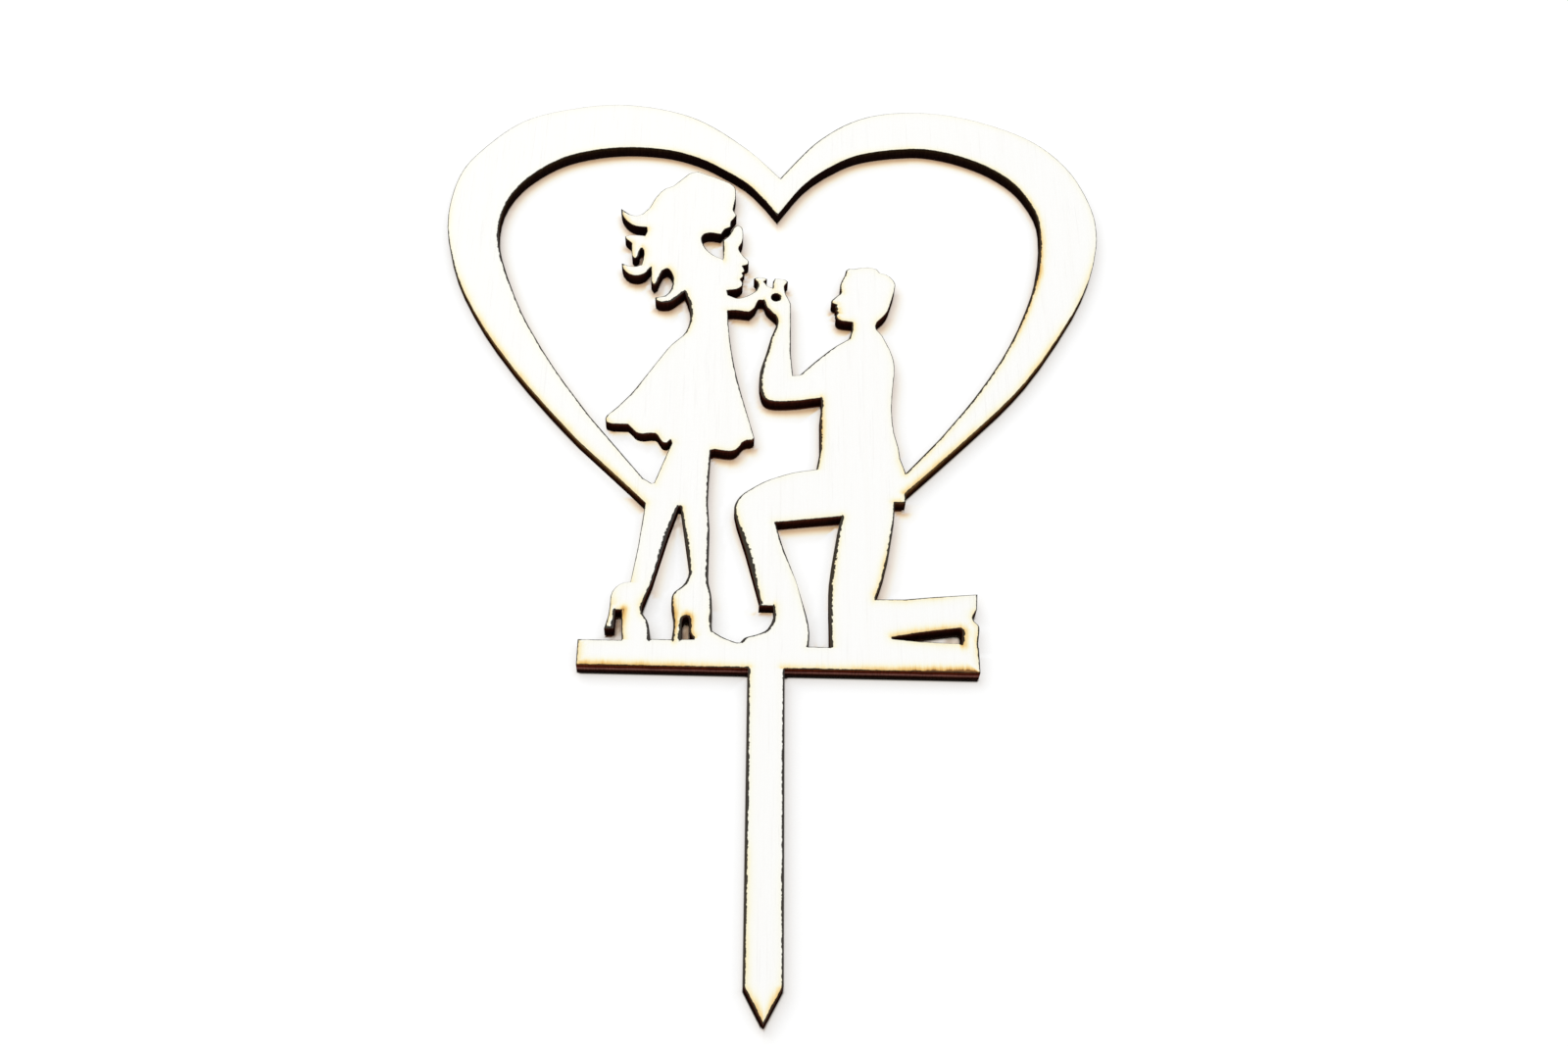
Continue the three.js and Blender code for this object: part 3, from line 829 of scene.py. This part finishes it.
def shade_sheet(bm):
    """Gives each point of the sheet its painted shade's warmth, its distance from the board's edge and its
    open air, in mm.

    Under the board the distance is less than none. Above the bar some painted light creeps in under the
    edge.
    Beside a wall that faces right or down, away from the key lamp, the painted shade reaches further, and in
    a small hole it is deep.
    """
    board = merged_layer("back_face_veneer")
    whole = BVHTree.FromBMesh(board)
    walls = BVHTree.FromBMesh(walls_alone(board))
    board.free()
    distance_layer = bm.verts.layers.float.new("edge_distance")
    open_layer = bm.verts.layers.float.new("open_air")
    shade_warmth_layer = bm.verts.layers.float.new("shade_warmth")
    for vert in bm.verts:
        level = Vector((vert.co.x, BACK_PLANE, vert.co.z))
        _, normal, _, distance = walls.find_nearest(level)
        covered = whole.ray_cast(level + Vector((0, MM, 0)), Vector((0, -1, 0)), 2 * MM)[0] is not None
        away = -distance / MM if covered else distance / MM
        away += lit_further(vert.co.x / MM, vert.co.z / MM)
        down = max(-normal.z, 0)
        shadow_side = min(max(normal.x, 0) + 0.8 * down, 1)
        inside = within_heart(level, normal)
        # Painted warm shade: inside the heart, more under walls that face down.
        shade_warmth = WARMTH_INSIDE + WARMTH_BELOW * down if inside else WARMTH_OUTSIDE
        pocket = pocket_share(walls, level) if distance < 3 * MM else 0
        vert[distance_layer] = away
        vert[open_layer] = away * (2 - shadow_side) * (1 - POCKET_SHADE * pocket)
        vert[shade_warmth_layer] = max(shade_warmth, POCKET_WARMTH * pocket)


def add_lamp(name, place, side, power, colour=(1.0, 1.0, 1.0)):
    """A square soft box that looks at the middle of the topper."""
    data = bpy.data.lights.new(name, "AREA")
    data.shape = "SQUARE"
    data.size = side
    data.energy = power
    data.color = colour
    lamp = bpy.data.objects.new(name, data)
    lamp.location = place
    middle = (CAD_BOX[0] + CAD_BOX[1]) / 2
    lamp.rotation_euler = (middle - Vector(place)).to_track_quat("-Z", "Y").to_euler()
    bpy.context.scene.collection.objects.link(lamp)


def light_world(settings):
    """White all round to the eye, and a plain soft light on the topper."""
    world = bpy.data.worlds.new("studio")
    bpy.context.scene.world = world
    world.use_nodes = True
    tree = world.node_tree
    tree.nodes.clear()
    out = add(tree, "ShaderNodeOutputWorld")
    soft = add(tree, "ShaderNodeBackground")
    white = add(tree, "ShaderNodeBackground")
    for light, strength in ((soft, settings.room_light), (white, 1.0)):
        light.inputs["Color"].default_value = (1.0, 1.0, 1.0, 1.0)
        light.inputs["Strength"].default_value = strength
    choice = add(tree, "ShaderNodeMixShader")
    put(tree, choice.inputs[0], eye_rays(tree))
    put(tree, choice.inputs[1], soft.outputs[0])
    put(tree, choice.inputs[2], white.outputs[0])
    put(tree, out.inputs["Surface"], choice.outputs[0])


def set_camera(settings):
    """The camera, below and in front of the topper, as the photograph was taken."""
    data = bpy.data.cameras.new("photo_camera")
    data.lens = settings.lens
    data.sensor_width = 36.0
    data.clip_start = 0.01
    data.clip_end = 20.0
    camera = bpy.data.objects.new("photo_camera", data)
    camera.location = settings.camera_place
    camera.rotation_euler = Euler(settings.camera_turn)
    bpy.context.scene.collection.objects.link(camera)
    bpy.context.scene.camera = camera


# Settings


class TopperFinishSettings(bpy.types.PropertyGroup):
    """Sizes and colours of the board's finish."""

    cell: bpy.props.FloatProperty(
        name="Cell",
        description="Side of the squares that the outward faces are diced into",
        default=0.0006,
        min=0.0003,
        max=0.003,
        precision=5,
        unit="LENGTH",
    )
    smoke_reach: bpy.props.FloatProperty(
        name="Smoke reach",
        description="How far in from a cut the stain has faded to about a third",
        default=0.0011,
        min=0.0,
        max=0.01,
        precision=5,
        unit="LENGTH",
    )
    relief: bpy.props.FloatProperty(
        name="Relief",
        description="Depth of the grain and of the laser's striae",
        default=0.00004,
        min=0.0,
        max=0.0005,
        precision=6,
        unit="LENGTH",
    )
    face_colour: bpy.props.FloatVectorProperty(
        name="Face",
        description="Colour of the sanded face between its grain lines",
        default=(0.988, 0.986, 0.973),
        min=0.0,
        max=1.0,
        subtype="COLOR",
    )
    grain_colour: bpy.props.FloatVectorProperty(
        name="Grain",
        description="Colour of the grain lines",
        default=(0.953, 0.942, 0.908),
        min=0.0,
        max=1.0,
        subtype="COLOR",
    )
    glue_colour: bpy.props.FloatVectorProperty(
        name="Glue",
        description="Colour of the cured glue film",
        default=(0.12, 0.055, 0.022),
        min=0.0,
        max=1.0,
        subtype="COLOR",
    )


class TopperStageSettings(bpy.types.PropertyGroup):
    """Sheet, lamps and camera."""

    sheet_side: bpy.props.FloatProperty(
        name="Sheet side",
        description="Side of the white sheet",
        default=4.0,
        min=0.5,
        unit="LENGTH",
    )
    sheet_cell: bpy.props.FloatProperty(
        name="Sheet cell",
        description="Side of the sheet's squares near the board",
        default=0.0007,
        min=0.0003,
        max=0.01,
        precision=5,
        unit="LENGTH",
    )
    sheet_gap: bpy.props.FloatProperty(
        name="Sheet gap",
        description="Gap between the back face and the sheet under the bar's middle",
        default=0.00083,
        min=0.0001,
        precision=6,
        unit="LENGTH",
    )
    lean_along: bpy.props.FloatProperty(
        name="Lean along",
        description="How much the gap grows up the topper, as a slope: it lies on the top of its heart",
        default=-0.0042,
        precision=4,
    )
    lean_across: bpy.props.FloatProperty(
        name="Lean across",
        description="How much the gap grows to the right, as a slope",
        default=0.0015,
        precision=4,
    )
    sheet_colour: bpy.props.FloatVectorProperty(
        name="Sheet",
        description="Colour of the sheet",
        default=(0.30, 0.30, 0.30),
        min=0.0,
        max=1.0,
        subtype="COLOR",
    )
    sheet_glow: bpy.props.FloatProperty(
        name="Sheet glow",
        description="Light that lifts the bare sheet to white",
        default=0.78,
        min=0.0,
        max=1.0,
    )
    room_light: bpy.props.FloatProperty(
        name="Room light",
        description="Strength of the light from all round",
        default=0.74,
        min=0.0,
        max=2.0,
    )
    key_power: bpy.props.FloatProperty(
        name="Key power",
        description="Power of the soft box at the upper left",
        default=5.2,
        min=0.0,
        unit="POWER",
    )
    fill_power: bpy.props.FloatProperty(
        name="Fill power",
        description="Power of the soft box at the lower right",
        default=1.6,
        min=0.0,
        unit="POWER",
    )
    back_power: bpy.props.FloatProperty(
        name="Back power",
        description="Power of the soft box behind",
        default=4.0,
        min=0.0,
        unit="POWER",
    )
    lens: bpy.props.FloatProperty(
        name="Lens",
        description="Focal length of the camera",
        default=38.89,
        min=10.0,
        unit="CAMERA",
    )
    camera_place: bpy.props.FloatVectorProperty(
        name="Camera place",
        description="Where the camera stands",
        default=(-0.0085, -0.30117, -0.14932),
        subtype="TRANSLATION",
        unit="LENGTH",
    )
    camera_turn: bpy.props.FloatVectorProperty(
        name="Camera turn",
        description="How the camera is turned",
        default=(math.radians(121.39), math.radians(-0.154), math.radians(-2.368)),
        subtype="EULER",
        unit="ROTATION",
    )


# Operators


class TOPPER_OT_face_veneers(bpy.types.Operator):
    """Finish the two face veneers, sanded and scorched outside, charred at the cuts"""

    bl_idname = "topper.face_veneers"
    bl_label = "Face Veneers"

    def execute(self, context):
        sizes = context.scene.topper_finish
        wall = charred_wall("face_veneer_cut", 1.0, (2600.0, 2600.0, 300.0), sizes)
        fine, broad = (3400.0, 3400.0, 80.0), (420.0, 420.0, 10.0)
        glued = bare_veneer("face_veneer_glued_side", fine, broad, sizes)
        dressed = (
            ("front_face_veneer", -1, (0.0, 0.0, 0.0), 1.0, "front_veneer_sanded"),
            ("back_face_veneer", 1, (31.0, 17.0, 5.0), 0.8, "back_veneer_sanded"),
        )
        for node, outward, seed, smoke_gain, finish in dressed:
            bm = merged_layer(node)
            join_walls(bm)
            dice_outward_face(bm, outward, sizes.cell)
            lay_scorch(bm)
            sanded = sanded_veneer(finish, sizes, seed, smoke_gain)
            finish_piece(bm, node + "_cut_out", node, outward, (sanded, wall, glued))
        return {"FINISHED"}


class TOPPER_OT_core_veneer(bpy.types.Operator):
    """Finish the core veneer, whose grain runs across that of the faces"""

    bl_idname = "topper.core_veneer"
    bl_label = "Core Veneer"

    def execute(self, context):
        sizes = context.scene.topper_finish
        fine, broad = (80.0, 3400.0, 3400.0), (10.0, 420.0, 420.0)
        side = bare_veneer("core_veneer_glued_side", fine, broad, sizes)
        wall = charred_wall("core_veneer_cut", 1.0, (260.0, 5200.0, 2600.0), sizes)
        bm = merged_layer("core_veneer")
        join_walls(bm)
        finish_piece(bm, "core_veneer_cut_out", "core_veneer", 0, (side, wall, side))
        return {"FINISHED"}


class TOPPER_OT_glue_films(bpy.types.Operator):
    """Finish the two glue films, which show as dark lines round every cut"""

    bl_idname = "topper.glue_films"
    bl_label = "Glue Films"

    def execute(self, context):
        sizes = context.scene.topper_finish
        side = cured_resin("glue_film_side", sizes)
        wall = charred_wall("glue_film_cut", 0.35, (1800.0, 1800.0, 1800.0), sizes)
        for node in ("front_glue_film", "back_glue_film"):
            bm = merged_layer(node)
            join_walls(bm)
            finish_piece(bm, node + "_cut_out", node, 0, (side, wall, side))
        return {"FINISHED"}


class TOPPER_OT_stage(bpy.types.Operator):
    """Lay the white sheet and set the lamps, the room light and the camera"""

    bl_idname = "topper.stage"
    bl_label = "Stage"

    def execute(self, context):
        settings = context.scene.topper_stage
        context.scene.view_settings.view_transform = "Standard"
        lay_sheet(settings)
        light_world(settings)
        add_lamp("key_soft_box", (-0.59, -0.996, 0.63), 0.8, settings.key_power, (1.0, 0.99, 0.975))
        add_lamp("fill_soft_box", (0.8, -1.0, -0.5), 0.9, settings.fill_power, (0.96, 0.98, 1.0))
        add_lamp("back_soft_box", (0.5, 1.3, 0.7), 0.8, settings.back_power)
        set_camera(settings)
        return {"FINISHED"}


class TOPPER_PT_panel(bpy.types.Panel):
    """Lists the steps that finish the topper"""

    bl_idname = "TOPPER_PT_panel"
    bl_label = "Heart Cake Topper"
    bl_space_type = "VIEW_3D"
    bl_region_type = "UI"
    bl_category = "Topper"

    def draw(self, context):
        steps = self.layout.column(align=True)
        for operator in OPERATORS:
            steps.operator(operator.bl_idname)
        for settings in (context.scene.topper_finish, context.scene.topper_stage):
            box = self.layout.box()
            for name in settings.__annotations__:
                box.prop(settings, name)


OPERATORS = (TOPPER_OT_face_veneers, TOPPER_OT_core_veneer, TOPPER_OT_glue_films, TOPPER_OT_stage)
CLASSES = (TopperFinishSettings, TopperStageSettings, *OPERATORS, TOPPER_PT_panel)


def register():
    for cls in CLASSES:
        bpy.utils.register_class(cls)
    bpy.types.Scene.topper_finish = bpy.props.PointerProperty(type=TopperFinishSettings)
    bpy.types.Scene.topper_stage = bpy.props.PointerProperty(type=TopperStageSettings)


def unregister():
    del bpy.types.Scene.topper_stage
    del bpy.types.Scene.topper_finish
    for cls in reversed(CLASSES):
        bpy.utils.unregister_class(cls)


def main():
    register()
    bpy.ops.topper.face_veneers()
    bpy.ops.topper.core_veneer()
    bpy.ops.topper.glue_films()
    bpy.ops.topper.stage()


if __name__ == "__main__":
    main()
